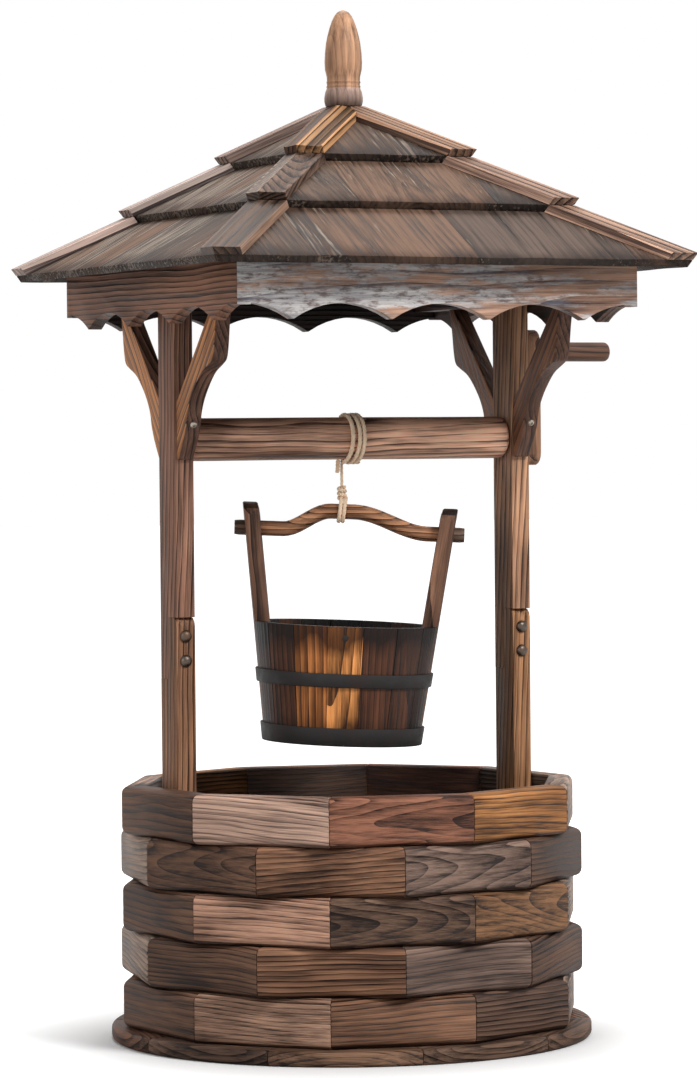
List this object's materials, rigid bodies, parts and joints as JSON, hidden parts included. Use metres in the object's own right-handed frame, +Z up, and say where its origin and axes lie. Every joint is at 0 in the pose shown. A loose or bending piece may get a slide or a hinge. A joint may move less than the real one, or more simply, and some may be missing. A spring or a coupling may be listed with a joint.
{
  "type": "wishing well planter",
  "caption": "Wooden wishing well planter: ten-sided stacked wall, posts with braces, hipped shingle-board roof with finial, and a crank windlass that lowers a staved bucket.",
  "frame": {"origin": "middle of the base's underside, on the floor", "axes": "+X along the roller towards the crank, -Y the front, +Z up"},
  "size_m": [0.6195, 0.575, 1.143],
  "materials": {
    "wall_wood": "dark brown oiled softwood, weathered",
    "floor_wood": "rough dark softwood",
    "frame_wood": "tan and purple-brown oiled softwood",
    "roof_wood": "grey-brown weathered softwood",
    "batten_wood": "light tan brushed softwood",
    "bucket_wood": "scorched orange-brown softwood",
    "hoop_iron": "dull near-black iron band",
    "bolt_steel": "dark plated steel",
    "rope_fibre": "cream natural fibre rope"
  },
  "bodies": {
    "root": {"base_ring": "wall_wood", "brace_left_back": "frame_wood", "brace_left_front": "frame_wood", "brace_right_back": "frame_wood", "brace_right_front": "frame_wood", "crossbeam_left": "frame_wood", "crossbeam_right": "frame_wood", "fascia_back": "frame_wood", "fascia_front": "frame_wood", "fascia_left": "frame_wood", "fascia_right": "frame_wood", "finial": "frame_wood", "floor_bearer": "floor_wood", "floor_board_1": "floor_wood", "floor_board_2": "floor_wood", "floor_board_3": "floor_wood", "floor_board_4": "floor_wood", "hip_batten_1_1": "batten_wood", "hip_batten_1_2": "batten_wood", "hip_batten_1_3": "batten_wood", "hip_batten_1_4": "batten_wood", "hip_batten_2_1": "batten_wood", "hip_batten_2_2": "batten_wood", "hip_batten_2_3": "batten_wood", "hip_batten_2_4": "batten_wood", "hip_batten_3_1": "batten_wood", "hip_batten_3_2": "batten_wood", "hip_batten_3_3": "batten_wood", "hip_batten_3_4": "batten_wood", "post_bolt_left_1": "bolt_steel", "post_bolt_left_2": "bolt_steel", "post_bolt_right_1": "bolt_steel", "post_bolt_right_2": "bolt_steel", "post_lower_left": "frame_wood", "post_lower_right": "frame_wood", "post_upper_left": "frame_wood", "post_upper_right": "frame_wood", "roof_tier_1": "roof_wood", "roof_tier_2": "roof_wood", "roof_tier_3": "roof_wood", "wall_course_1": "wall_wood", "wall_course_2": "wall_wood", "wall_course_3": "wall_wood", "wall_course_4": "wall_wood", "wall_course_5": "wall_wood"},
    "windlass": {"windlass_roller": "frame_wood", "crank_arm": "frame_wood", "crank_grip": "frame_wood", "rope_winding": "rope_fibre"},
    "bucket_hanger": {"rope_fall": "rope_fibre", "rope_hitch": "rope_fibre", "bucket_handle": "frame_wood"},
    "bucket": {"bucket_bottom": "bucket_wood", "bucket_ear_left": "bucket_wood", "bucket_ear_right": "bucket_wood", "bucket_hoop_bottom": "hoop_iron", "bucket_hoop_middle": "hoop_iron", "bucket_staves_back": "bucket_wood", "bucket_staves_front": "bucket_wood"}
  },
  "joints": [
    {"name": "windlass_spin", "type": "hinge", "parent": "root", "child": "windlass", "pos_m": [0, 0, 0.666], "axis": [1, 0, 0], "range_deg": [-34, 584]},
    {"name": "bucket_lift", "type": "slide", "parent": "root", "child": "bucket_hanger", "axis": [0, 0, 1], "range_m": [-0.2705, 0.016], "deforming": ["rope_fall"]},
    {"name": "bucket_tip", "type": "hinge", "parent": "bucket_hanger", "child": "bucket", "pos_m": [0.00083, -0.00345, 0.56261], "axis": [0.9017, -0.4301, -0.0454], "range_deg": [-25, 25]}
  ],
  "couplings": [
    {"joint": "bucket_lift", "follows": "windlass_spin", "m_per_rad": -0.0265}
  ]
}
